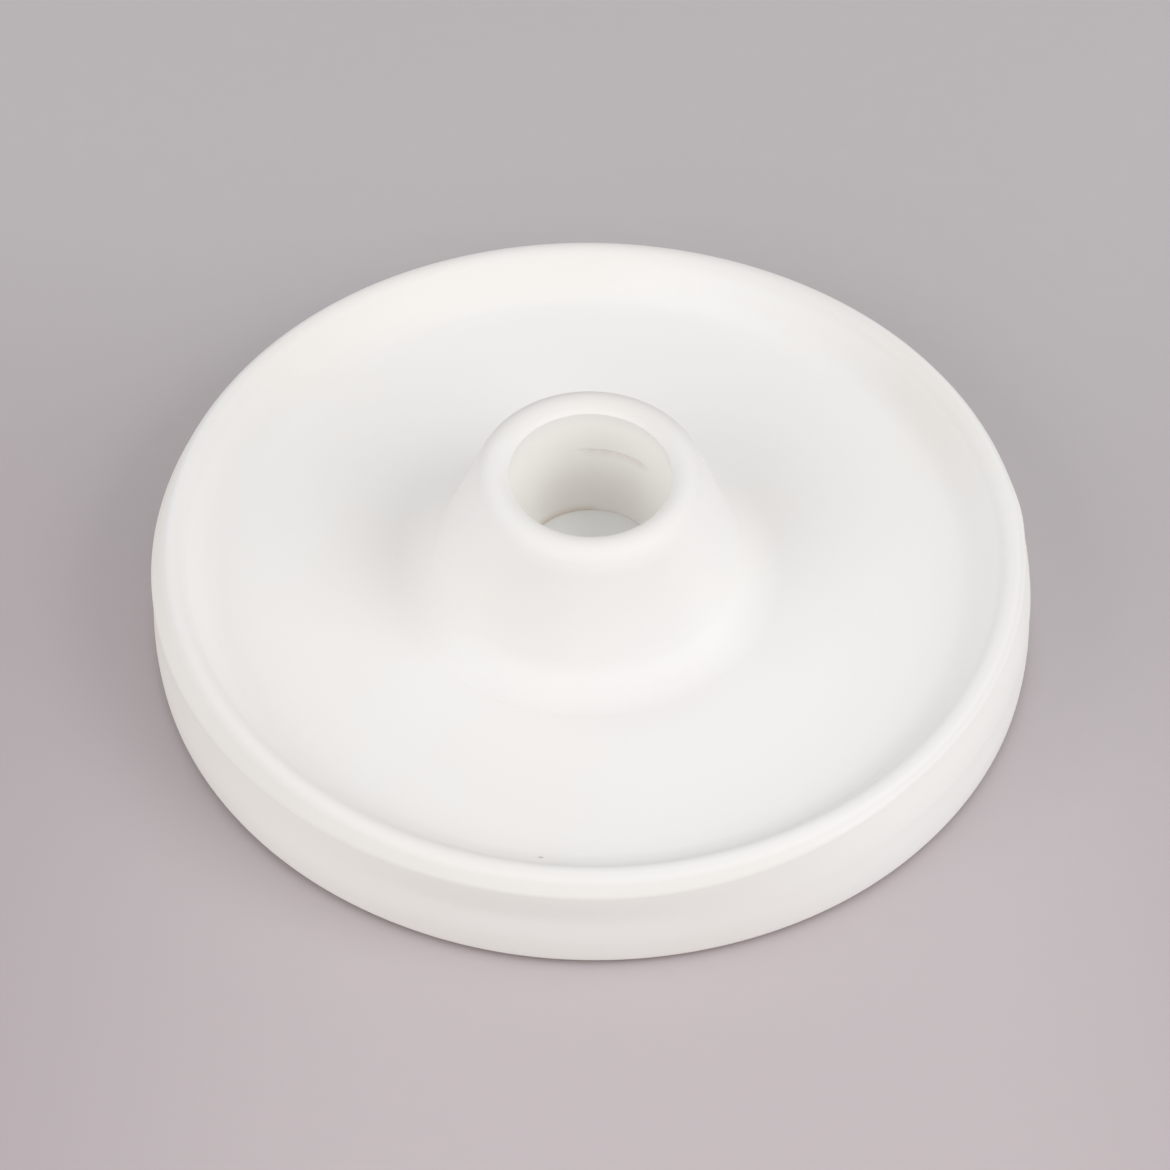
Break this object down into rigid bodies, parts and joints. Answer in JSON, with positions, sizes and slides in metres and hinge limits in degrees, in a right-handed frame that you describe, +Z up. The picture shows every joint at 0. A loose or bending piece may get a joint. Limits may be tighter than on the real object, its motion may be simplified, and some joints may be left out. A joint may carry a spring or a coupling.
{
  "type": "taper candle holder",
  "caption": "Low round drip dish with a rolled rim and a flared central socket that holds a taper candle upright, in matte white ceramic.",
  "frame": {"origin": "on the table, under the centre of the dish", "axes": "+Z up along the axis of the dish and the candle, +X to the right and -Y towards the viewer of the picture"},
  "size_m": [0.1272, 0.1272, 0.033],
  "materials": {
    "matte_glaze": "soft matte white glaze",
    "pad_rubber": "thin pale grey rubber sheet"
  },
  "bodies": {
    "root": {"drip_dish": "matte_glaze", "candle_socket": "matte_glaze", "anti_slip_pad_1": "pad_rubber", "anti_slip_pad_2": "pad_rubber", "anti_slip_pad_3": "pad_rubber", "anti_slip_pad_4": "pad_rubber"}
  },
  "joints": []
}
